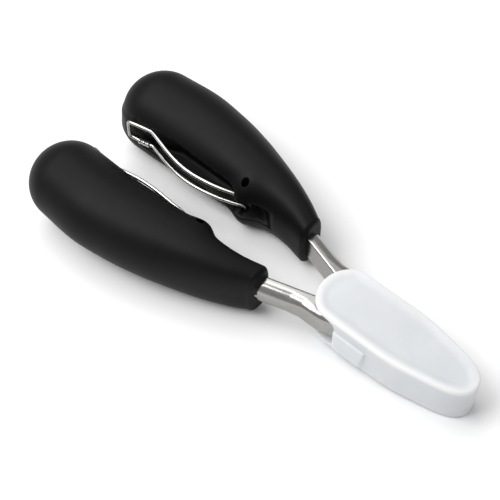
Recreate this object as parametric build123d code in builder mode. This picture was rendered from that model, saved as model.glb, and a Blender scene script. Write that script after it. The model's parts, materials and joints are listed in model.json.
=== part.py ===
from build123d import *

import os
from math import cos, radians, sin, sqrt, tan

# Toenail nippers with soft grips, wire bow springs and a slip-on jaw guard.
#
# The nippers lie flat, open. +Y points back along the handles and -Y forward to the jaws, +Z is up along
# the pivot, and X is across: the right handle is at +X and the left one at -X. The origin is below the
# middle of the tool's outline, on the surface that the grips rest on. Every size is in millimetres.
#
# A sketch drawn flat uses `flat(height)`: its own origin is the pivot axis, so its second coordinate is
# the distance behind the pivot, negative in front of it, and its height is counted from the plane that
# the two levers share. The right-hand pieces are drawn, and the left-hand ones are their mirror images.

os.makedirs("parts", exist_ok=True)

# ---- Overall ----
guard_nose = 41.5  # pivot axis to the guard's closed nose
grip_tail = 122.0  # pivot axis to the back of the grips
grip_half_height = 13.5  # the grips' thickest half height, which lifts the levers off the table
closing_angle = 8.4  # how far the right handle swings to shut the jaws

# ---- Levers ----
lever_height = 9.4  # steel blank, top to bottom
shank_width = 5.4  # flat inner face to round back
shank_angle = 17.2  # each shank's splay from the tool's middle line, at rest
shank_edge_offset = 0.3  # flat inner face beside the pivot axis
shank_rounding = 2.6  # round back of the D section
shoulder_half_width = 10.6  # widest point of the steel, just behind the guard's walls
shoulder_back = 13.5  # where the shoulder narrows to the shank
shoulder_lead = 3.0
shoulder_lap = 4.0  # length of shank inside the shoulder
shoulder_inner_start = 2.5
lap_clearance = 0.1  # between the two lap faces
lap_shoulder_clearance = 0.3  # between a lap disc and the other lever's full-height steel
jaw_length = 34.0  # pivot axis to the cutting tip
jaw_gap = 0.15  # half the gap left between shut jaws
jaw_tip_height = 4.4
jaw_waist = 5.4  # edge to flank, part way along
jaw_tip_width = 1.1
tang_width = 4.0
tang_height = 6.4
tang_end = 62.0  # pivot axis to the end of the tang

# ---- Pivot screw ----
screw_radius = 2.5
screw_running_clearance = 0.05  # radial, in the right lever only
screw_head_radius = 4.4
screw_head_height = 0.9
screw_head_lift = 0.1  # under the head, so the joint turns freely
screw_slot_width = 1.0
screw_slot_depth = 0.5

# ---- Grips ----
grip_front = 31.0  # pivot axis to the grips' front ends
grip_tail_rounding = 13.5  # length over which the tail closes
core_front_gap = 3.0  # soft skin in front of the core
core_skin = 3.0  # soft skin above and below the core
core_side_skin = 1.1  # beside the core at its front
core_narrowing = 4.0  # further back the core is narrower, and moves outwards to clear the pocket
core_outward = 2.4
core_lead = 30.0  # length over which it narrows
ear_back = 58.5  # pivot axis to the ears' holes
ear_across = 10.7
ear_radius = 4.3
ear_half_height = 10.4
ear_hole_radius = 1.35
ear_slot_half_height = 3.9
ear_slot_depth = 4.2  # from the hole's axis to the bottom of the slot between the ears
pocket_half_height = 6.0
pocket_start = 62.0
pocket_floor = 15.2  # floor of the pocket, across from the middle line

# ---- Springs ----
wire_radius = 0.65
wire_bend = 1.6
bail_back = 111.2
bail_across = 7.4
bail_half_height = 3.8
bend_back = 101.0
bend_across = 9.6
leg_half_height = 2.6  # the legs draw together towards the ears
sleeve_radius = 1.05
sleeve_length = 4.4

# ---- Guard ----
guard_half_width = 10.4
guard_wall = 1.4
guard_plate = 1.3
guard_side_clearance = 0.3  # between a wall and the lap joint
guard_end_clearance = 0.4  # between a wall's rear end and the shoulder
guard_head_clearance = 0.5  # between the top plate and the screw's head
guard_tongue = 16.0  # pivot axis to the rear edge of the top and bottom plates
guard_wall_start = 3.4  # pivot axis to the rear ends of the side walls, below their swept top
guard_wall_sweep = 3.4  # length over which a wall's rear edge sweeps up to the plates
guard_edge_radius = 2.2
guard_pad_proud = 0.8
guard_pad_length = 12.6
guard_pad_top = 2.6  # above the levers' plane
guard_pad_height = 8.8

# ---- Worked out ----
pivot_back = -(grip_tail - guard_nose) / 2
lever_middle = grip_half_height
half_lever = lever_height / 2
lap_radius = guard_half_width - guard_wall - guard_side_clearance
screw_top = half_lever + screw_head_lift + screw_head_height
guard_half_height = screw_top + guard_head_clearance + guard_plate
half_open = closing_angle / 2
shank_lean = tan(radians(shank_angle))
shank_width_across = shank_width / cos(radians(shank_angle))


def flat(height):
    """The plane of a flat sketch, seen from above, at a height from the levers' shared plane."""
    return Plane(origin=(0, pivot_back, lever_middle + height))


def across_plane(back):
    """An upright plane across the tool: its +X is across and its +Y is up, from the levers' plane."""
    return Plane(origin=(0, pivot_back + back, lever_middle), x_dir=(1, 0, 0), z_dir=(0, -1, 0))


def side_plane():
    """The upright plane through the tool's middle: its +X is back from the pivot and its +Y is up."""
    return Plane(origin=(0, pivot_back, lever_middle), x_dir=(0, 1, 0), z_dir=(1, 0, 0))


def inner_face(back):
    """Where the right shank's flat inner face is, across, at a distance behind the pivot."""
    return shank_edge_offset + shank_lean * back


def write(name, part):
    """Labels a finished piece and writes it to its own STEP file."""
    part.label = name
    export_step(part, f"parts/{name}.step")


def write_left(name, right_part):
    """Writes the left-hand piece, which is the right one's mirror image."""
    with BuildPart() as left:
        mirror(right_part, about=Plane.YZ)
    write(name, left.part)


# ---- Levers: one forged blank each, half its height at the lap joint ----


def shank_plane(along):
    """The plane of the shank's section: +X is outwards, and the normal runs back along the shank."""
    lean = radians(shank_angle)
    direction = Vector(sin(lean), cos(lean), 0)
    origin = Vector(0, pivot_back, lever_middle) + direction * (along / cos(lean))
    return Plane(origin=origin, x_dir=(cos(lean), -sin(lean), 0), z_dir=direction)


def shank_run(start, end):
    """The length of shank between two distances behind the pivot."""
    return (end - start) / cos(radians(shank_angle))


shank_inner = shank_edge_offset * cos(radians(shank_angle))
shank_centre = shank_inner + shank_width / 2
shoulder_start = shoulder_back + shoulder_lead
shank_start = shoulder_start - shoulder_lap
shank_end = grip_front + core_front_gap
shoulder_front = guard_wall_start + guard_end_clearance
shoulder_widest = inner_face(shoulder_start) + shank_width_across

# The jaw, shut: its cutting edge lies along the middle line, and it is turned to its open place below.
with BuildPart() as shut_jaw:
    with BuildSketch(flat(-half_lever)):
        with BuildLine():
            edge = Line((-jaw_gap, -jaw_length), (-jaw_gap, -lap_radius * 0.55))
            root = Line(edge @ 1, (-lap_radius + 0.3, -lap_radius * 0.35))
            flank = ThreePointArc(
                root @ 1,
                (-jaw_waist, -jaw_length * 0.6),
                (-jaw_gap - jaw_tip_width, -jaw_length),
            )
            Line(flank @ 1, edge @ 0)
        make_face()
    extrude(amount=lever_height)
    with BuildSketch(side_plane()):
        with BuildLine():
            Polyline(
                (0, half_lever),
                (-lap_radius - 2, half_lever),
                (-jaw_length, jaw_tip_height / 2),
                (-jaw_length, -jaw_tip_height / 2),
                (-lap_radius - 2, -half_lever),
                (0, -half_lever),
                close=True,
            )
        make_face()
    extrude(amount=guard_half_width, both=True, mode=Mode.INTERSECT)


# The shoulder: the steel widens in front of the shank and turns in to the lap joint.
with BuildPart() as shoulder:
    with BuildSketch(flat(-half_lever)):
        with BuildLine():
            inner = Line(
                (inner_face(shoulder_inner_start), shoulder_inner_start),
                (inner_face(shoulder_start), shoulder_start),
            )
            back = Line(inner @ 1, (shoulder_widest, shoulder_start))
            side = Spline(
                back @ 1,
                (shoulder_half_width, (shoulder_start + shoulder_front) / 2 - 0.8),
                (lap_radius + 0.8, shoulder_front + 1.8),
                tangents=[(-shank_lean, -1), (-0.9, -1)],
            )
            Polyline(side @ 1, (lap_radius - 0.1, shoulder_front), (lap_radius - 0.3, 0.5), inner @ 0)
        make_face()
    extrude(amount=lever_height)


def lever(own_half):
    """The right-hand lever. own_half is +1 where its lap disc is the upper half, and -1 for the lower."""
    with BuildPart() as blank:
        # Round-backed shank, then the narrower tang inside the grip.
        with BuildSketch(shank_plane(shank_start)):
            with Locations((shank_centre, 0)):
                Rectangle(shank_width, lever_height)
            fillet(vertices().group_by(Axis.X)[-1], shank_rounding)
        extrude(amount=shank_run(shank_start, shank_end))
        with BuildSketch(shank_plane(shank_end)):
            with Locations((shank_centre, 0)):
                Rectangle(tang_width, tang_height)
        extrude(amount=shank_run(shank_end, tang_end))
        add(shoulder.part)
        add(shut_jaw.part.rotate(Axis((0, pivot_back, 0), (0, 0, 1)), -half_open))
        # Lap joint: full height outside the disc, half height inside it.
        floor = lap_clearance / 2 if own_half > 0 else -half_lever
        other_floor = -half_lever if own_half > 0 else -lap_clearance / 2
        with BuildSketch(flat(other_floor)):
            Circle(lap_radius + lap_shoulder_clearance)
        extrude(amount=half_lever + lap_clearance / 2, mode=Mode.SUBTRACT)
        with BuildSketch(flat(floor)):
            Circle(lap_radius)
        extrude(amount=half_lever - lap_clearance / 2)
        bore = screw_radius + (screw_running_clearance if own_half > 0 else 0)
        with BuildSketch(flat(-half_lever)):
            Circle(bore)
        extrude(amount=lever_height, mode=Mode.SUBTRACT)
    return blank.part


lever_right = lever(own_half=1)
lever_left_blank = lever(own_half=-1)
write("lever_right", lever_right)
write_left("lever_left", lever_left_blank)

# ---- Pivot screw: threaded into the left lever, a running fit in the right one ----

with BuildPart() as pivot_screw:
    with BuildSketch(flat(-half_lever)):
        Circle(screw_radius)
    extrude(amount=lever_height + screw_head_lift)
    with BuildSketch(flat(half_lever + screw_head_lift)):
        Circle(screw_head_radius)
    extrude(amount=screw_head_height)
    fillet(edges().group_by(Axis.Z)[-1], screw_head_height * 0.6)
    with BuildSketch(flat(half_lever + screw_head_lift + screw_head_height)):
        Rectangle(screw_head_radius * 2, screw_slot_width)
    extrude(amount=-screw_slot_depth, mode=Mode.SUBTRACT)
write("pivot_screw", pivot_screw.part)

# ---- Grips: a rigid core moulded on the tang, and a soft skin over it ----

# Distance behind the pivot, centre across, half width, half height.
grip_stations = [
    (grip_front, 12.3, 4.7, 9.4),
    (40.0, 15.8, 6.6, 10.8),
    (52.0, 18.8, 9.0, 12.2),
    (66.0, 21.0, 11.9, 13.0),
    (80.0, 22.4, 13.7, 13.4),
    (94.0, 23.2, 14.5, grip_half_height),
    (grip_tail - grip_tail_rounding, 22.6, 14.2, 13.2),
]
tail_steps = [0.35, 0.62, 0.82, 0.94, 0.99]


def tail_station(step):
    """A section of the round tail, which closes like a quarter ellipse."""
    last_back, last_across, last_width, last_height = grip_stations[-1]
    lean = (last_across - grip_stations[-2][1]) / (last_back - grip_stations[-2][0])
    size = sqrt(1 - step**2)
    travel = grip_tail_rounding * step
    return (last_back + travel, last_across + lean * travel, last_width * size, last_height * size)


with BuildPart() as grip_blank:
    for back, across, half_width, half_height in grip_stations + [tail_station(s) for s in tail_steps]:
        with BuildSketch(across_plane(back)):
            with Locations((across, 0)):
                Ellipse(half_width, half_height)
    loft()

with BuildPart() as core_blank:
    for back, across, half_width, half_height in grip_stations[:-1]:
        inward = min(1, (back - grip_front) / core_lead)
        if back == grip_front:
            back, across = shank_end, across + core_front_gap * 0.35
        with BuildSketch(across_plane(back)):
            with Locations((across + core_outward * inward, 0)):
                Ellipse(half_width - core_side_skin - core_narrowing * inward, half_height - core_skin)
    loft()

with BuildPart() as grip_core_right:
    add(core_blank.part)
    add(lever_right, mode=Mode.SUBTRACT)
write("grip_core_right", grip_core_right.part)
write_left("grip_core_left", grip_core_right.part)

# Pocket: the bow sinks into it as the handles shut, and the bail slides on its floor at the tail.
with BuildPart() as pocket:
    with BuildSketch(flat(-pocket_half_height)):
        with BuildLine():
            Polyline(
                (0, pocket_start),
                (12.0, pocket_start + 1.5),
                (pocket_floor, pocket_start + 7.0),
                (pocket_floor, bend_back - 8.0),
                (bend_across + 1.6, bend_back),
                (bail_across + 1.2, bail_back + 2.4),
                (0, bail_back + 2.4),
                close=True,
            )
        make_face()
    extrude(amount=2 * pocket_half_height)
    with BuildSketch(side_plane()):
        with BuildLine():
            rim = Polyline(
                (pocket_start - 1, 0),
                (pocket_start - 1, pocket_half_height),
                (bend_back - 12.0, pocket_half_height),
                (bail_back, bail_half_height + 1.1),
                (bail_back + 2.4, bail_half_height - 0.8),
                (bail_back + 2.4, 0),
            )
            mirror(about=Plane.XZ)
        make_face()
    extrude(amount=pocket_floor + 1, mode=Mode.INTERSECT)

with BuildPart() as grip_skin_right:
    add(grip_blank.part)
    # Two ears, above and below the spring, on one upright hole.
    with BuildSketch(flat(-ear_half_height)):
        with Locations((ear_across, ear_back)):
            Circle(ear_radius)
    extrude(amount=2 * ear_half_height)
    with BuildSketch(flat(-ear_slot_half_height)):
        with BuildLine():
            Polyline(
                (0, ear_back - 9.0),
                (ear_across, ear_back - 9.0),
                (ear_across + ear_slot_depth, ear_back - 4.0),
                (ear_across + ear_slot_depth, pocket_start + 4.0),
                (0, pocket_start + 4.0),
                close=True,
            )
        make_face()
    extrude(amount=2 * ear_slot_half_height, mode=Mode.SUBTRACT)
    add(pocket.part, mode=Mode.SUBTRACT)
    with BuildSketch(flat(-grip_half_height)):
        with Locations((ear_across, ear_back)):
            Circle(ear_hole_radius)
    extrude(amount=2 * grip_half_height, mode=Mode.SUBTRACT)
    add(core_blank.part, mode=Mode.SUBTRACT)
    add(lever_right, mode=Mode.SUBTRACT)
write("grip_skin_right", grip_skin_right.part)
write_left("grip_skin_left", grip_skin_right.part)

# ---- Springs: two lengths of wire in each grip, joined in a crimped sleeve on the bail ----


def place(across, back, height):
    """A point at a place given from the pivot axis and the levers' shared plane."""
    return Vector(across, pivot_back + back, lever_middle + height)


# One leg, from its hook in the ear to the bend before the bail: across, behind the pivot, height.
leg_route = [
    (ear_across, ear_back, ear_half_height - 0.9),
    (ear_across, ear_back, leg_half_height),
    (7.4, 67.5, leg_half_height + 0.1),
    (5.5, 79.0, leg_half_height + 0.4),
    (6.8, 90.5, leg_half_height + 0.9),
    (bend_across, bend_back, bail_half_height),
]
sleeve_share = (1.2 + sleeve_length / 2) / (bail_back - bend_back)
sleeve_middle = (
    bend_across + (bail_across - bend_across) * sleeve_share,
    bend_back + (bail_back - bend_back) * sleeve_share,
    -bail_half_height,
)


def turn_radius(before, corner, after):
    """The radius of the bend at a corner: gentle in the bow, and tight at a hook or the bail."""
    turn = (corner - before).get_angle(after - corner)
    room = 0.45 * min((corner - before).length, (after - corner).length)
    if turn > 20:
        return min(wire_bend if turn > 45 else 4.0, room / tan(radians(turn / 2)))
    return room / tan(radians(turn / 2))


def wire(route):
    """A length of round wire along straight runs joined by tangent bends."""
    points = [place(*point) for point in route]
    corners = zip(points, points[1:], points[2:])
    radii = [turn_radius(*corner) for corner in corners]
    with BuildPart() as length:
        with BuildLine() as path:
            FilletPolyline(*points, radius=radii)
        with BuildSketch(Plane(origin=path.line @ 0, z_dir=path.line % 0)):
            Circle(wire_radius)
        sweep(path=path.line)
    return length.part


bail_corner = (bail_across, bail_back, bail_half_height)
lower_leg = [(across, back, -height) for across, back, height in leg_route]
lower_bail_corner = (bail_across, bail_back, -bail_half_height)
wire_long = wire(leg_route + [bail_corner, lower_bail_corner, sleeve_middle])
wire_short = wire(lower_leg + [sleeve_middle])
write("spring_wire_long_right", wire_long)
write_left("spring_wire_long_left", wire_long)
write("spring_wire_short_right", wire_short)
write_left("spring_wire_short_left", wire_short)

bail_run = place(*lower_bail_corner) - place(*lower_leg[-1])
with BuildPart() as spring_sleeve:
    start = place(*sleeve_middle) - bail_run.normalized() * (sleeve_length / 2)
    with BuildSketch(Plane(origin=start, z_dir=bail_run)):
        Circle(sleeve_radius)
        Circle(wire_radius, mode=Mode.SUBTRACT)
    extrude(amount=sleeve_length)
write("spring_sleeve_right", spring_sleeve.part)
write_left("spring_sleeve_left", spring_sleeve.part)

# ---- Jaw guard: a flat plastic pocket with a round tongue above and below the joint ----


def guard_outline(inset):
    """The guard's outline from above, drawn in by an inset; its back is the round tongue."""
    half = guard_half_width - inset
    with BuildLine() as outline:
        side = Line((half, guard_wall_start + 3.4), (half, -13.0))
        Spline(
            side @ 1,
            (8.4 - inset * 1.05, -28.0 + inset * 0.4),
            (0, -guard_nose + inset),
            tangents=[(0, -1), (-1, 0)],
            tangent_scalars=[1.0, 1.15],
        )
        Spline(
            (0, guard_tongue),
            (half * 0.71, guard_tongue - 2.6),
            side @ 0,
            tangents=[(1, 0), (0, -1)],
        )
        mirror(about=Plane.YZ)
    return outline.line


with BuildPart() as jaw_guard:
    with BuildSketch(flat(-guard_half_height)):
        with BuildLine():
            add(guard_outline(0))
        make_face()
    extrude(amount=2 * guard_half_height)
    fillet(edges().group_by(Axis.Z)[-1] + edges().group_by(Axis.Z)[0], guard_edge_radius)
    pad_middle = guard_wall_start - guard_pad_length / 2
    with BuildSketch(flat(guard_pad_top - guard_pad_height)):
        with Locations((0, pad_middle)):
            RectangleRounded(2 * (guard_half_width + guard_pad_proud), guard_pad_length, guard_pad_proud - 0.1)
    extrude(amount=guard_pad_height)
    cavity = guard_half_height - guard_plate
    with BuildSketch(flat(-cavity)):
        with BuildLine():
            add(guard_outline(guard_wall))
        make_face()
    extrude(amount=2 * cavity, mode=Mode.SUBTRACT)
    # The walls stop at the shoulders, where their rear edges sweep up and back to the top plate.
    with BuildSketch(side_plane()):
        with BuildLine():
            floor = Line((guard_tongue + 1, -cavity), (guard_wall_start, -cavity))
            edge = Line(floor @ 1, (guard_wall_start, guard_pad_top))
            rise = Spline(
                edge @ 1,
                (guard_wall_start + guard_wall_sweep, cavity),
                tangents=[(0, 1), (1, 0.25)],
            )
            Polyline(rise @ 1, (guard_tongue + 1, cavity), floor @ 0)
        make_face()
    extrude(amount=2 * guard_half_width, both=True, mode=Mode.SUBTRACT)
write("jaw_guard", jaw_guard.part)
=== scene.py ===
import json

import bmesh
import bpy
import numpy as np
from mathutils import Matrix, Vector


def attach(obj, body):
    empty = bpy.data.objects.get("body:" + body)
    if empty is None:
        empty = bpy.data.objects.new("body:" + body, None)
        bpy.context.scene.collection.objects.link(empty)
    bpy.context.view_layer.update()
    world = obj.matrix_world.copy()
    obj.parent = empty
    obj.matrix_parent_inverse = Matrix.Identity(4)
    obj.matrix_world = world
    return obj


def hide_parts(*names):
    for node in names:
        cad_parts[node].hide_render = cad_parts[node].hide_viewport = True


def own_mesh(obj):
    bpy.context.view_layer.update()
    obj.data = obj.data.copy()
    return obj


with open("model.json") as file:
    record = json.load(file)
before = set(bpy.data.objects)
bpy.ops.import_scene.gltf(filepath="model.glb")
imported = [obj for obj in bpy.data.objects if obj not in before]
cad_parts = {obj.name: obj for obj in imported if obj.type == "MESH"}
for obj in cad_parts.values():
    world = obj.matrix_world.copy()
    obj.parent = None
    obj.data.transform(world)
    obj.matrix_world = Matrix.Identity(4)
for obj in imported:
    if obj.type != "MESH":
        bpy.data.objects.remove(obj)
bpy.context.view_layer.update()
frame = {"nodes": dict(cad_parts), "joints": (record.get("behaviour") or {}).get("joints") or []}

# ---- Frame ----
# The nippers lie open on their grips. The pivot joint gives the axis that everything is laid out
# from: a place is stated as across, back from the pivot, and up from the plane the levers share.

joints = {joint["name"]: joint for joint in frame["joints"]}
pivot = np.array(joints["handle_pivot"]["pos_m"])
MM = 0.001


def placed(across, back, up):
    """Points in metres, as one array, from millimetres across, behind and above the pivot."""
    across, back, up = np.broadcast_arrays(across, back, up)
    return np.stack([across, back, up], axis=-1).astype(float) * MM + pivot


# ---- Camera ----
# A short telephoto lens looks down on the tool from the jaws' left side. Its place is stated as a
# turn, a rise and a distance from a point in the levers' plane, with a slight roll.

view_turn = np.radians(-48.27)
view_rise = np.radians(53.94)
view_roll = np.radians(0.2)
view_distance = 0.35877
sensor_width, focal_share = 36, 1110 / 500
view_target = Vector((-0.00321, 0.00368, pivot[2]))

backward = Vector((
    np.sin(view_turn) * np.cos(view_rise),
    -np.cos(view_turn) * np.cos(view_rise),
    np.sin(view_rise),
))
rightward = Vector((np.cos(view_turn), np.sin(view_turn), 0))
upward = backward.cross(rightward)
rightward, upward = (
    rightward * np.cos(view_roll) + upward * np.sin(view_roll),
    upward * np.cos(view_roll) - rightward * np.sin(view_roll),
)
camera = bpy.data.objects.new("camera", bpy.data.cameras.new("camera"))
bpy.context.scene.collection.objects.link(camera)
camera.data.sensor_width = sensor_width
camera.data.lens = sensor_width * focal_share
camera.data.clip_start = 0.01
camera.matrix_world = Matrix.Translation(view_target + backward * view_distance) @ Matrix((
    (rightward.x, upward.x, backward.x),
    (rightward.y, upward.y, backward.y),
    (rightward.z, upward.z, backward.z),
)).to_4x4()
bpy.context.scene.camera = camera

# ---- Materials ----
# Every finish on the tool is a node material, worked out in the piece's own coordinates. A small class
# wraps a socket, so that shader maths reads as Python.


class Socket:
    """A node's output. Arithmetic on it adds Math nodes, with numbers or other sockets."""

    def __init__(self, finish, link):
        self.finish, self.link = finish, link

    def maths(self, operation, *values):
        return self.finish.node("ShaderNodeMath", {"operation": operation}, *values)

    def __add__(self, other):
        return self.maths("ADD", self, other)

    def __radd__(self, other):
        return self.maths("ADD", other, self)

    def __mul__(self, other):
        return self.maths("MULTIPLY", self, other)

    def __rmul__(self, other):
        return self.maths("MULTIPLY", other, self)


class Finish:
    """A node material, built by naming each node's type, its settings and its inputs' values."""

    def __init__(self, name, **constants):
        self.material = bpy.data.materials.new(name)
        self.material.use_nodes = True
        self.tree = self.material.node_tree
        self.shader = self.tree.nodes["Principled BSDF"]
        self.set(**constants)

    def plug(self, socket, value):
        """Links a socket to another, or gives it a value."""
        if isinstance(value, Socket):
            self.tree.links.new(value.link, socket)
        else:
            socket.default_value = value

    def node(self, kind, settings, *values, output=0, **named):
        """Adds a node of a kind with its settings, then its inputs' values in order or by name."""
        made = self.tree.nodes.new(kind)
        for key, value in settings.items():
            setattr(made, key, value)
        for socket, value in zip(made.inputs, values):
            self.plug(socket, value)
        for key, value in named.items():
            self.plug(made.inputs[key.replace("_", " ")], value)
        return Socket(self, made.outputs[output])

    def set(self, **constants):
        """Plugs the shader's own inputs, by name."""
        for key, value in constants.items():
            self.plug(self.shader.inputs[key.replace("_", " ")], value)

    def places(self, scale=(1, 1, 1)):
        """The piece's own coordinates, in metres, stretched by a scale."""
        place = self.node("ShaderNodeTexCoord", {}, output="Object")
        return self.node("ShaderNodeMapping", {"vector_type": "TEXTURE"}, Vector=place, Scale=scale)

    def noise(self, vector, scale, detail=3.0, roughness=0.5):
        return self.node(
            "ShaderNodeTexNoise", {}, Vector=vector, Scale=scale, Detail=detail, Roughness=roughness
        )

    def mixed(self, share, first, second):
        """The first colour at a share of 0, the second at 1."""
        made = self.tree.nodes.new("ShaderNodeMix")
        made.data_type = "RGBA"
        self.plug(made.inputs["Factor"], share)
        self.plug(made.inputs[6], first)
        self.plug(made.inputs[7], second)
        return Socket(self, made.outputs[2])

    def bump(self, height, strength, distance):
        return self.node(
            "ShaderNodeBump", {}, Height=height, Strength=strength, Distance=distance, output="Normal"
        )


def grey(level):
    """An opaque grey."""
    return (level, level, level, 1)


def give(piece, finish):
    """Puts one finish on a whole piece."""
    piece.data.materials.clear()
    piece.data.materials.append(finish.material)


# ---- Floor and lights ----
# A white paper floor, tilted a little so that the grips and the guard's nose both lie on it. Two soft
# boxes stand over the grips' end, the stronger one on the left, in an even pale room.

nose_drop, resting_span = 5.5, 104.0
lean = np.arctan2(-nose_drop, resting_span)
floor_half, room_light = 3.0, 0.48
floor_corners = np.array([(-1, -1), (1, -1), (1, 1), (-1, 1)]) * floor_half
floor_rise = (floor_corners[:, 1] * np.tan(lean))[:, None]
touch_back, touch_up = 66.0, -13.05
touch = placed(0, touch_back, touch_up)
floor_points = np.hstack([floor_corners, floor_rise]) + (0, touch[1], touch[2])
floor_mesh = bpy.data.meshes.new("floor")
floor_mesh.from_pydata(floor_points.tolist(), [], [(0, 1, 2, 3)])
floor = bpy.data.objects.new("floor", floor_mesh)
bpy.context.scene.collection.objects.link(floor)
paper = Finish("white_paper", Base_Color=grey(0.9), Roughness=0.8)
give(floor, paper)


def soft_box(name, place, width, height, power, aim=(0, 0, 0.01)):
    """A rectangular lamp at a place, facing a point."""
    lamp = bpy.data.objects.new(name, bpy.data.lights.new(name, "AREA"))
    bpy.context.scene.collection.objects.link(lamp)
    lamp.data.shape = "RECTANGLE"
    lamp.data.size = width
    lamp.data.size_y = height
    lamp.data.energy = power
    lamp.location = place
    lamp.rotation_euler = (Vector(place) - Vector(aim)).to_track_quat("Z", "Y").to_euler()


soft_box("key_box", place=(-0.42, 0.42, 0.8), width=0.6, height=0.6, power=7.0)
soft_box("back_box", place=(0.17, 0.42, 0.8), width=0.54, height=0.6, power=3.2)
world = bpy.data.worlds.new("room")
bpy.context.scene.world = world
world.use_nodes = True
world.node_tree.nodes["Background"].inputs["Color"].default_value = grey(1.0)
world.node_tree.nodes["Background"].inputs["Strength"].default_value = room_light
bpy.context.scene.view_settings.view_transform = "Standard"

# ---- Levers ----
# Two forged stainless blanks that lap at the pivot. The shanks are linished along their length,
# round at the back and flat where they face each other, and every sharp edge is broken.

steel_dark, steel_pale = (0.27, 0.266, 0.256, 1), (0.42, 0.415, 0.40, 1)
grain_stretch, grain_height = (0.05, 1.0, 0.05), 0.00004
steel = Finish("linished_steel", Metallic=1.0)
grain = steel.noise(steel.places(grain_stretch), scale=60.0, detail=4.0, roughness=0.6)
steel.set(
    Roughness=0.14 + 0.16 * grain,
    Base_Color=steel.mixed(grain, steel_dark, steel_pale),
    Normal=steel.bump(grain, strength=0.05, distance=grain_height),
)
lever_voxel, lever_half_height, worn_passes = 0.24, 4.7, 3
shoulder_round, shank_round, rounded_from, rounded_to = 2.6, 4.2, 3.5, 33
radius_back, radius_there = (3.2, 5.7, 13.0, 21.0), (0.1, shoulder_round, shoulder_round, shank_round)
shoulder_back = (3.8, 4.7, 5.6, 7.4, 9.35, 12.0, 16.5, 30.0)
shoulder_across = (8.6, 9.1, 9.5, 10.18, 10.6, 10.85, 11.06, 15.24)


def applied(piece):
    """Makes a piece's modifiers part of its mesh."""
    graph = bpy.context.evaluated_depsgraph_get()
    piece.data = bpy.data.meshes.new_from_object(piece.evaluated_get(graph))
    piece.modifiers.clear()


def resampled(node, name, voxel, passes):
    """A merged copy of a solid, remade of small even faces and smoothed, which breaks its edges."""
    shape = bmesh.new()
    shape.from_mesh(frame["nodes"][node].data)
    bmesh.ops.remove_doubles(shape, verts=shape.verts, dist=2e-6)
    mesh = bpy.data.meshes.new(name)
    shape.to_mesh(mesh)
    shape.free()
    piece = bpy.data.objects.new(name, mesh)
    bpy.context.scene.collection.objects.link(piece)
    even = piece.modifiers.new("even", "REMESH")
    even.mode = "VOXEL"
    even.voxel_size = voxel * MM
    worn = piece.modifiers.new("worn", "SMOOTH")
    worn.factor = 0.5
    worn.iterations = passes
    applied(piece)
    piece.data.shade_smooth()
    return piece


def local_points(piece):
    """A piece's points as three arrays: across, behind and above the pivot, in millimetres."""
    flat = np.empty(len(piece.data.vertices) * 3)
    piece.data.vertices.foreach_get("co", flat)
    return ((flat.reshape(-1, 3) - pivot) / MM).T


def move_points(piece, across, back, up):
    """Puts a piece's points at new places."""
    piece.data.vertices.foreach_set("co", placed(across, back, up).ravel())
    piece.data.update()


def round_back(piece):
    """Rounds the outer edges of the shoulder, and more so of the shank. In a section across the tool, a
    point of the corner that is outside the circle that touches the side and the top or bottom is drawn
    back onto that circle."""
    across, back, up = local_points(piece)
    radius = np.interp(back, radius_back, radius_there)
    side_at = np.interp(back, shoulder_back, shoulder_across)
    beyond_side = np.abs(across) - (side_at - radius)
    beyond_top = np.abs(up) - (lever_half_height - radius)
    away = np.hypot(beyond_side, beyond_top)
    corner = (beyond_side > 0) & (beyond_top > 0) & (away > radius)
    corner &= (back > rounded_from) & (back < rounded_to)
    pull = np.where(corner, radius / np.maximum(away, 1e-6), 1.0)
    across = np.where(corner, np.sign(across) * (side_at - radius + beyond_side * pull), across)
    up = np.where(corner, np.sign(up) * (lever_half_height - radius + beyond_top * pull), up)
    move_points(piece, across, back, up)


for side in ("right", "left"):
    lever = resampled("lever_" + side, "forged_lever_" + side, lever_voxel, worn_passes)
    round_back(lever)
    give(lever, steel)
    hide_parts("lever_" + side)
    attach(lever, side + "_handle")

# ---- Pivot screw ----
# A slotted cheese-head screw turned from satin steel. It passes through one lever, is threaded into
# the other, and its head stands just above the lap joint.

turned_dark, turned_pale = (0.50, 0.495, 0.485, 1), (0.62, 0.615, 0.6, 1)
turned_steel = Finish("turned_steel", Metallic=1.0)
turning = turned_steel.noise(turned_steel.places(), scale=900.0, detail=2.0)
turned_steel.set(
    Roughness=0.24 + 0.12 * turning,
    Base_Color=turned_steel.mixed(turning, turned_dark, turned_pale),
)
give(frame["nodes"]["pivot_screw"], turned_steel)

# ---- Grips ----
# Soft black elastomer moulded over a hard core: a fat curved body with a round tail, a pocket in its
# inner face for the spring, and two pierced ears that hold the spring's hooks.


def smooth_through(knots, values, at):
    """A curve through known values: between two knots it is the cubic whose end slopes are the
    harmonic means of the slopes of the chords beside each knot, so that it never overshoots."""
    knots, values = np.array(knots, float), np.array(values, float)
    chord = np.diff(values) / np.diff(knots)
    product = chord[:-1] * chord[1:]
    total = np.where(np.abs(chord[:-1] + chord[1:]) < 1e-12, 1.0, chord[:-1] + chord[1:])
    inner = np.where(product > 0, 2 * product / total, 0.0)
    slope = np.concatenate([chord[:1], inner, chord[-1:]])
    cell = np.clip(np.searchsorted(knots, at) - 1, 0, len(knots) - 2)
    gap = np.diff(knots)[cell]
    t = np.clip((at - knots[cell]) / gap, 0, 1)
    rise = values[cell + 1] - values[cell]
    start, end = slope[cell] * gap, slope[cell + 1] * gap
    square_part, cube_part = 3 * rise - 2 * start - end, start + end - 2 * rise
    return values[cell] + t * start + t**2 * square_part + t**3 * cube_part


def softer_low(first, second, width):
    """The lower of two values, with a round valley of a given width where they cross."""
    near = np.clip(0.5 + 0.5 * (second - first) / width, 0, 1)
    return second * (1 - near) + first * near - width * near * (1 - near)


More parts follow.
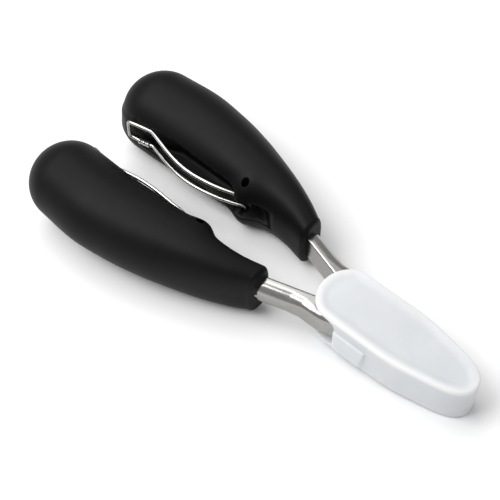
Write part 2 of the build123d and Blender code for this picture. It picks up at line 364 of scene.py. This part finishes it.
def softer_high(first, second, width):
    """The higher of two values, with a round crest of a given width where they cross."""
    return -softer_low(-first, -second, width)


def new_piece(name, points, faces, body, finish):
    """Makes a smooth-shaded mesh of points and faces that rides on a body."""
    mesh = bpy.data.meshes.new(name)
    mesh.from_pydata(points.reshape(-1, 3).tolist(), [], faces)
    mesh.shade_smooth()
    piece = bpy.data.objects.new(name, mesh)
    bpy.context.scene.collection.objects.link(piece)
    give(piece, finish)
    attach(piece, body)
    return piece


def wrapped_faces(rows, columns):
    """Quads between neighbouring rings of a grid whose columns close round, and a lid at each end."""
    row, column = np.meshgrid(np.arange(rows - 1), np.arange(columns), indexing="ij")
    after = (column + 1) % columns
    this, following = row * columns, (row + 1) * columns
    quads = np.stack([this + column, this + after, following + after, following + column], axis=-1)
    first, last = list(range(columns))[::-1], list(range((rows - 1) * columns, rows * columns))
    return quads.reshape(-1, 4).tolist() + [first, last]


grip_front, grip_tail, tail_length = 31.0, 122.0, 13.5
station_back = (31.0, 40.0, 52.0, 66.0, 80.0, 94.0, 108.5)
station_across = (12.3, 15.8, 18.8, 21.0, 22.4, 23.2, 22.6)
station_width = (4.7, 6.6, 9.0, 11.9, 13.7, 14.5, 14.2)
station_height = (9.4, 10.8, 12.2, 13.0, 13.4, 13.5, 13.2)
square_back, square_power = (31, 40, 60), (0.62, 0.8, 1.0)
upper_full_back, upper_fullness = (44, 57, 68, 86), (0.0, 0.18, 0.22, 0.0)
lower_full_back, lower_fullness = (44, 57, 84), (0.0, 0.42, 0.55)
lower_band, side_sharpness = (-0.3, 0.3), 4
rear_reach_back, rear_reach = (90, 106), (0.0, 0.25)
front_edge, tail_drift, tail_fill = 1.6, 0.6, 0.4
ear_back, ear_across, ear_spread, ear_reach = 58.5, 10.7, 4.8, 3.3
ear_squareness, ear_crown = 0.05, 0.28
pocket_rim_back, pocket_rim_half = (60, 89, 111.2, 114), (6.0, 6.0, 4.9, 3.2)
pocket_start, pocket_end, pocket_margin, pocket_steepness = 61.5, 113.8, 1.2, 5.0
pocket_corner_round, pocket_rim_round, pocket_lip_round = 1.0, 2.5, 0.7
pocket_back, pocket_across = (62, 69, 92, 101, 113.6), (12.0, 15.2, 15.2, 11.4, 8.8)
slot_end, slot_half, slot_margin, slot_steepness = 67.0, 3.9, 1.0, 6.0
slot_rim_round, slot_lip_round = 1.5, 0.9
slot_back, slot_across = (38, 44, 50, 55, 67), (5.5, 8.2, 12.2, 14.9, 14.9)
rim_across = 5.0


def pocket_floor(back, up):
    """How far across the pocket's floor is, falling steeply towards the middle line outside its rim."""
    back, up = np.broadcast_arrays(back, np.abs(up))
    half_height = np.interp(back, pocket_rim_back, pocket_rim_half)
    from_ends = softer_low(back - pocket_start, pocket_end - back, pocket_corner_round)
    inside = softer_low(half_height - up, from_ends, pocket_rim_round)
    floor = np.interp(back, pocket_back, pocket_across)
    return np.minimum(floor, rim_across + pocket_steepness * (inside + pocket_margin))


def slot_floor(back, up):
    """The same for the slot between the ears, which runs out gently forwards."""
    back, up = np.broadcast_arrays(back, np.abs(up))
    inside = softer_low(slot_half - up, slot_end - back, slot_rim_round)
    floor = smooth_through(slot_back, slot_across, back)
    return np.minimum(floor, rim_across + slot_steepness * (inside + slot_margin))


def grip_surface(along, around):
    """The right grip. Each section is a superellipse about a curved spine, squarer at the front and
    fuller on the inner side, below more than above. That side is also drawn out towards the middle line
    at the ears by a bell curve, and is then the higher, across, of itself and the floors of the pocket
    and the slot, and the tail drifts inwards a little as its section shrinks like an ellipse's. along
    runs from -1, the middle of the front face, by 0, past its round edge, and 1, where the tail starts
    to close like a quarter ellipse, to 2, its end."""
    main, front, tail = np.clip(along, 0, 1), np.clip(-along, 0, 1), np.clip(along - 1, 0, 1)
    body_start = grip_front + front_edge
    back = body_start + (grip_tail - tail_length - body_start) * main
    across = smooth_through(station_back, station_across, back)
    width = smooth_through(station_back, station_width, back)
    height = smooth_through(station_back, station_height, back)
    edge_turn = np.clip(front * 3, 0, 1) * np.pi / 2
    inset = front_edge * (1 - np.cos(edge_turn))
    d = back - front_edge * np.sin(edge_turn) + tail_length * np.sin(tail * np.pi / 2)
    bell = np.exp(-((back - ear_back) / ear_spread) ** 2)
    c, s = np.cos(around), np.sin(around)
    square = np.interp(back, square_back, square_power)
    lower = np.interp(s, lower_band, (1.0, 0.0))
    fuller = np.interp(back, upper_full_back, upper_fullness) * (1 - lower)
    fuller = fuller + np.interp(back, lower_full_back, lower_fullness) * lower
    inner_square = square - ear_squareness * bell - fuller
    blend = np.clip(0.5 - c * side_sharpness, 0, 1)
    square_here = square + (inner_square - square) * blend
    shape_across = np.sign(c) * np.abs(c) ** square_here
    shape_up = np.sign(s) * np.abs(s) ** (square_here + ear_crown * bell * blend)
    reach = ear_reach * bell + np.interp(back, rear_reach_back, rear_reach)
    drawn = width - inset + np.where(c < 0, reach, 0)
    size = np.cos(tail * np.pi / 2) ** (1 - tail_fill * lower * blend)
    size = size * np.clip((1 - front) * 1.5, 0, 1)
    x = across - tail_drift * np.sin(tail * np.pi / 2) + shape_across * drawn * size
    z = shape_up * (height - inset) * size
    pressed = softer_high(x, slot_floor(d, z), slot_lip_round)
    pressed = softer_high(pressed, pocket_floor(d, z), pocket_lip_round)
    return placed(x + (pressed - x) * np.clip(-c * side_sharpness, 0, 1), d, z)


rubber_black, rubber_worn = (0.003, 0.003, 0.0031, 1), (0.0045, 0.0045, 0.0047, 1)
rubber = Finish("soft_touch_rubber", Specular_IOR_Level=0.12)
speckle = rubber.noise(rubber.places(), scale=2600.0, detail=2.0)
cloud = rubber.noise(rubber.places(), scale=90.0)
rubber.set(
    Roughness=0.44 + 0.1 * cloud,
    Base_Color=rubber.mixed(cloud, rubber_black, rubber_worn),
    Normal=rubber.bump(speckle, strength=0.15, distance=grain_height),
)
face_rings, edge_rings, body_rings, tail_rings, points_round = 8, 10, 230, 40, 300
face_start, face_end, tail_stop = -0.98, -0.33, 0.995
along = np.concatenate([
    np.linspace(face_start, face_end, face_rings, endpoint=False),
    np.linspace(face_end, 0, edge_rings, endpoint=False),
    np.linspace(0, 1, body_rings, endpoint=False),
    1 + np.sin(np.linspace(0, 1, tail_rings) * np.pi / 2) * tail_stop,
])
around = np.linspace(0, 2 * np.pi, points_round, endpoint=False)
right_points = grip_surface(along[:, None], around[None, :])
grip_faces = wrapped_faces(len(along), len(around))
mirror = np.array([-1.0, 1.0, 1.0])
ear_hole, drill_reach = 1.35, 16.0
drill_turn = np.linspace(0, 2 * np.pi, 40, endpoint=False)
for side, points in (("right", right_points), ("left", right_points * mirror)):
    faces = [face[::-1] for face in grip_faces] if side == "left" else grip_faces
    grip = new_piece("grip_" + side, points, faces, side + "_handle", rubber)
    drill_points = placed(
        (1 if side == "right" else -1) * ear_across + ear_hole * np.cos(drill_turn)[None, :],
        ear_back + ear_hole * np.sin(drill_turn)[None, :],
        np.array([[-drill_reach], [drill_reach]]),
    )
    drill_mesh = bpy.data.meshes.new("drill")
    drill_faces = wrapped_faces(2, len(drill_turn))
    drill_mesh.from_pydata(drill_points.reshape(-1, 3).tolist(), [], drill_faces)
    drill = bpy.data.objects.new("drill", drill_mesh)
    bpy.context.scene.collection.objects.link(drill)
    hole = grip.modifiers.new("hole", "BOOLEAN")
    hole.object = drill
    hole.solver = "EXACT"
    applied(grip)
    bpy.data.objects.remove(drill)
    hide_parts("grip_skin_" + side)

core_dark, core_pale = (0.02, 0.02, 0.021, 1), (0.03, 0.03, 0.031, 1)
hard_plastic = Finish("core_plastic")
mottle = hard_plastic.noise(hard_plastic.places(), scale=400.0, detail=2.0)
hard_plastic.set(
    Roughness=0.5 + 0.1 * mottle,
    Base_Color=hard_plastic.mixed(mottle, core_dark, core_pale),
)
for side in ("right", "left"):
    give(frame["nodes"]["grip_core_" + side], hard_plastic)

# ---- Springs ----
# Bright drawn wire, 1.3 mm thick: a bow with a hook in each ear and a square bail at the tail, closed
# by a crimped sleeve.

wire_dark, wire_pale = (0.42, 0.415, 0.40, 1), (0.52, 0.515, 0.50, 1)
bright_wire = Finish("bright_wire", Metallic=1.0)
drawing = bright_wire.noise(bright_wire.places(), scale=150.0)
bright_wire.set(
    Roughness=0.26 + 0.06 * drawing,
    Base_Color=bright_wire.mixed(drawing, wire_dark, wire_pale),
)
wire_radius, long_samples, short_samples = 0.65, 260, 180
dome_rings, dome_limit = 2.0, 0.98
hook = [
    (ear_across, ear_back, 5.2), (ear_across, ear_back, 4.5), (ear_across, ear_back, 3.8),
    (10.6, 58.7, 2.7), (9.8, 60.6, 2.6),
]
bow = [
    (8.7, 63.6, 2.65), (7.4, 67.5, 2.7), (6.2, 73.0, 2.85), (5.5, 79.0, 3.0), (5.7, 84.7, 3.2),
    (6.8, 90.5, 3.5), (8.3, 96.0, 3.7), (9.3, 99.6, 3.8), (9.7, 101.0, 3.8), (9.4, 102.4, 3.8),
]
bail = [
    (8.7, 105.6, 3.8), (7.95, 109.0, 3.8), (7.7, 110.5, 3.55), (7.65, 110.7, 2.2), (7.65, 110.7, 0.0),
]
long_end, short_end = [(8.6, 106.0, -3.8), (9.1, 103.4, -3.8)], [(9.1, 103.5, -3.8)]
squeezed_across, squeeze_keep = 10.2, 0.45
settled, bail_share = {"right": 0.0, "left": 2.0}, 0.5
deepest_back, deepest_spread, ear_fade = 79.0, 11.0, (62.0, 74.0)


def below(route):
    """The same route on the underside, run the other way."""
    return [(across, back, -up) for across, back, up in route[::-1]]


def bent(route, samples):
    """A smooth line near a route's points: a quadratic B-spline, which weighs three neighbouring
    points at a time, started and ended on the end points."""
    points = np.array(route, float)
    ends = 2 * points[[0, -1]] - points[[1, -2]]
    points = np.vstack([ends[:1], points, ends[1:]])
    spot = np.linspace(0, len(points) - 2, samples, endpoint=False)
    first = spot.astype(int)
    t = (spot - first)[:, None]
    before, middle, after = points[first], points[first + 1], points[first + 2]
    return 0.5 * (1 - t) ** 2 * before + (0.5 + t - t**2) * middle + 0.5 * t**2 * after


def carried(line, across_profile, up_profile):
    """A profile carried along a line. Each ring stands square to the line: one of its axes is square
    to the line and to the tool's cross direction, and the other is square to both. The profile's two
    coordinates are arrays of rings by points around."""
    run = np.gradient(line, axis=0)
    run /= np.linalg.norm(run, axis=1, keepdims=True)
    first = np.cross(run, (1.0, 0.0, 0.0))
    first /= np.linalg.norm(first, axis=1, keepdims=True)
    second = np.cross(run, first)
    points = line[:, None] + first[:, None] * across_profile[..., None]
    points = points + second[:, None] * up_profile[..., None]
    return placed(points[..., 0], points[..., 1], points[..., 2])


def sunk(line, depth):
    """A line moved outwards, deeper into its pocket: most in the middle of the bow, by a bell curve,
    less at the bail, and not at all at the ears."""
    back = line[:, 1]
    bow_share = np.exp(-(((back - deepest_back) / deepest_spread) ** 2))
    share = (1 - bail_share) * bow_share + bail_share * np.interp(back, ear_fade, (0, 1))
    return line + depth * share[:, None] * (1.0, 0.0, 0.0)


ring = np.linspace(0, 2 * np.pi, 20, endpoint=False)
for side, flip in (("right", 1), ("left", -1)):
    long_line = bent(hook + bow + bail + below(bail)[1:3] + long_end, long_samples)
    short_line = bent(short_end + below(bow) + below(hook), short_samples)
    long_line, short_line = sunk(long_line, settled[side]), sunk(short_line, settled[side])
    for name, line in (("long", long_line), ("short", short_line)):
        from_end = np.minimum(np.arange(len(line)), np.arange(len(line))[::-1]) / dome_rings
        radius = (wire_radius * np.sqrt(1 - np.clip(1 - from_end, 0, dome_limit) ** 2))[:, None]
        points = carried(line, radius * np.cos(ring), radius * np.sin(ring))
        faces = [face[::flip] for face in wrapped_faces(*points.shape[:2])]
        points = points * (flip, 1.0, 1.0)
        body = side + "_handle"
        wire = new_piece(f"spring_{name}_{side}", points, faces, body, bright_wire)
        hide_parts(f"spring_wire_{name}_{side}")
        anchor = placed(flip * squeezed_across, ear_back, 0)
        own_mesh(wire)

# ---- Crimped sleeves ----
# A short steel tube slipped over the two wire ends on the lower run of the bail, and pressed square
# with two bites of a crimping tool. Its section is a superellipse, with a plain round bore.

sleeve_start, sleeve_end = np.array((9.35, 102.4, -3.8)), np.array((8.42, 106.7, -3.8))
sleeve_half, sleeve_bore, crimp_depth, crimp_spread = 1.0, 0.66, 0.16, 0.1
crimp_places, lip_depth, lip_share, squareness = (0.32, 0.7), 0.12, 0.05, 0.6
skin = np.linspace(0, 1, 26)
outline = np.concatenate([skin, skin[::-1]])
sleeve_line = sleeve_start + (sleeve_end - sleeve_start) * outline[:, None]
outside = (np.arange(len(outline)) < len(skin))[:, None]
lip = lip_depth * np.clip(1 - np.minimum(outline, 1 - outline) / lip_share, 0, 1)[:, None]
first_crimp, second_crimp = [np.exp(-((outline - at) / crimp_spread) ** 2) for at in crimp_places]
pinch = crimp_depth * (first_crimp + second_crimp)[:, None]
half = np.where(outside, sleeve_half - lip - pinch, sleeve_bore)
corner = np.where(outside, squareness, 1.0)
sleeve_ring = np.linspace(0, 2 * np.pi, 32, endpoint=False)
c, s = np.cos(sleeve_ring), np.sin(sleeve_ring)
run = (sleeve_end - sleeve_start) / np.linalg.norm(sleeve_end - sleeve_start)
first = np.cross(run, (1.0, 0.0, 0.0))
first /= np.linalg.norm(first)
second = np.cross(run, first)
sleeve = sleeve_line[:, None] + first * (half * np.sign(c) * np.abs(c) ** corner)[..., None]
sleeve = sleeve + second * (half * np.sign(s) * np.abs(s) ** corner)[..., None]
sleeve_points = placed(sleeve[..., 0], sleeve[..., 1], sleeve[..., 2])
sleeve_faces = wrapped_faces(*sleeve_points.shape[:2])[:-2]
rows, columns = sleeve_points.shape[:2]
last = (rows - 1) * columns
sleeve_faces += [(last + k, last + (k + 1) % columns, (k + 1) % columns, k) for k in range(columns)]
for side, flip in (("right", 1), ("left", -1)):
    points = (sleeve_points + (settled[side] * bail_share * MM, 0, 0)) * (flip, 1.0, 1.0)
    faces = [face[::flip] for face in sleeve_faces]
    name, body = f"spring_sleeve_tube_{side}", side + "_handle"
    tube = new_piece(name, points, faces, body, bright_wire)
    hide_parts("spring_sleeve_" + side)
    anchor = placed(flip * squeezed_across, ear_back, 0)
    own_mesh(tube)

# ---- Jaw guard ----
# A slip-on pocket of milky soft plastic over the jaws, moulded with soft edges and a slightly sunk
# top. It is open at the back and holds by its grip on the jaws. Its whiter top edge is a painted
# highlight.

haze_blue, haze_white = (0.70, 0.735, 0.78, 1), (0.84, 0.86, 0.88, 1)
# A painted highlight: a whiter band mixed into the guard's colour along its top edge only.
painted_rim_highlight = (0.97, 0.975, 0.98, 1)
milky = Finish(
    "milky_plastic",
    IOR=1.45,
    Transmission_Weight=0.15,
    Subsurface_Weight=0.7,
    Subsurface_Radius=(1.0, 1.0, 1.0),
    Subsurface_Scale=0.004,
)
haze = milky.noise(milky.places(), scale=75.0, detail=2.0)
rim = milky.node("ShaderNodeAttribute", {"attribute_name": "rim"}, output="Fac")
body_tint = milky.mixed(haze, haze_blue, haze_white)
milky.set(
    Roughness=0.34 + 0.1 * haze,
    Base_Color=milky.mixed(rim, body_tint, painted_rim_highlight),
)
guard_voxel, guard_top, guard_plate = 0.28, 7.5, 1.3
moulded_round, edge_round, round_slack, plate_slack = 2.2, 0.9, 0.35, 0.3
dish_depth, dish_from, dish_to = 0.4, 0.9, 4.2
pad_front, pad_lead, pad_half_height, pad_least = -9.2, 0.5, 6.5, 0.05
pad_swell_up, pad_swell = (-6.0, 1.0), (3.0, 1.0)
# Where the painted rim highlight lies, near the outline and high on the top, and how strong it is.
rim_from, rim_to, rim_low, rim_high, rim_highlight_strength = 0.7, 3.0, 5.6, 6.8, 0.8
guard_outline = np.array([
    (0.0, 16.0), (1.46, 15.93), (2.98, 15.67), (4.31, 15.25), (5.5, 14.7), (6.67, 13.95), (7.79, 13.05),
    (8.69, 12.08), (9.38, 11.05), (9.9, 9.92), (10.2, 8.82), (10.38, 7.5), (10.4, 6.8), (10.4, -13.0),
    (10.31, -15.7), (10.02, -18.62), (9.57, -21.67), (9.32, -23.09), (8.24, -28.86), (7.87, -30.81),
    (7.55, -32.32), (7.25, -33.57), (6.94, -34.66), (6.63, -35.62), (6.3, -36.46), (5.97, -37.22),
    (5.62, -37.89), (5.26, -38.49), (4.89, -39.02), (4.5, -39.49), (4.1, -39.9), (3.69, -40.27),
    (3.25, -40.58), (2.8, -40.85), (2.32, -41.07), (1.87, -41.23), (1.4, -41.35), (0.9, -41.44),
    (0.0, -41.5),
])


def depth_inside(across, back):
    """How far a point is inside the guard's outline, in plan, and the outward direction there. It is
    the distance to the nearest of the outline's chords, negative outside it."""
    line, run = guard_outline, np.diff(guard_outline, axis=0)
    point = np.stack([np.abs(across), back], axis=-1)[:, None]
    share = np.clip(((point - line[:-1]) * run).sum(-1) / (run * run).sum(-1), 0, 1)
    offset = point - (line[:-1] + share[..., None] * run)
    distance = np.linalg.norm(offset, axis=-1)
    near = distance.argmin(axis=1)
    rows = np.arange(len(near))
    outward = np.stack([-run[:, 1], run[:, 0]], axis=-1)[near]
    outward /= np.linalg.norm(outward, axis=1, keepdims=True)
    side = np.sign((offset[rows, near] * outward).sum(-1))
    outward = outward * np.stack([np.sign(across), np.ones(len(near))], axis=-1)
    return -side * distance[rows, near], outward


def step(value, low, high):
    """0 below low and 1 above high, with a smooth cubic between."""
    t = np.clip((value - low) / (high - low), 0, 1)
    return t * t * (3 - 2 * t)


# The solid's edge round is remade as a tighter one, the pads' fronts swell out of the sides over a
# length that grows downwards, and the top and bottom sink inside the rim.
guard = resampled("jaw_guard", "slip_on_guard", guard_voxel, worn_passes)
across, back, up = local_points(guard)
depth, outward = depth_inside(across, back)
beyond_side, beyond_top = moulded_round - depth, np.abs(up) - (guard_top - moulded_round)
on_round = np.hypot(beyond_side, beyond_top) > moulded_round - round_slack
on_round &= (beyond_side > 0) & (beyond_top > 0)
over = np.clip(np.abs(up) - (guard_top - edge_round), 0, edge_round - 0.02)
crisp = edge_round - np.sqrt(edge_round**2 - over**2)
proud = np.interp(up, pad_swell_up, pad_swell)
pad = (depth < -pad_least) & (np.abs(up) < pad_half_height) & (back > pad_front - pad_lead)
target = np.where(on_round, np.minimum(crisp, depth), depth)
target = np.where(pad, depth * step(back, pad_front, pad_front + proud), target)
across = across + outward[:, 0] * (depth - target)
back = back + outward[:, 1] * (depth - target)
dish = step(target, dish_from, dish_to)
in_plate = np.abs(up) > guard_top - guard_plate - plate_slack
up = up - np.sign(up) * dish_depth * dish * in_plate
move_points(guard, across, back, up)
# The rim attribute carries the painted highlight on the top edge, for the base colour to mix in.
rim_highlight_mark = guard.data.attributes.new("rim", "FLOAT", "POINT")
rim_highlight_value = (1 - step(target, rim_from, rim_to)) * step(up, rim_low, rim_high) * rim_highlight_strength
rim_highlight_mark.data.foreach_set("value", rim_highlight_value)
give(guard, milky)
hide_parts("jaw_guard")
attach(guard, "guard")
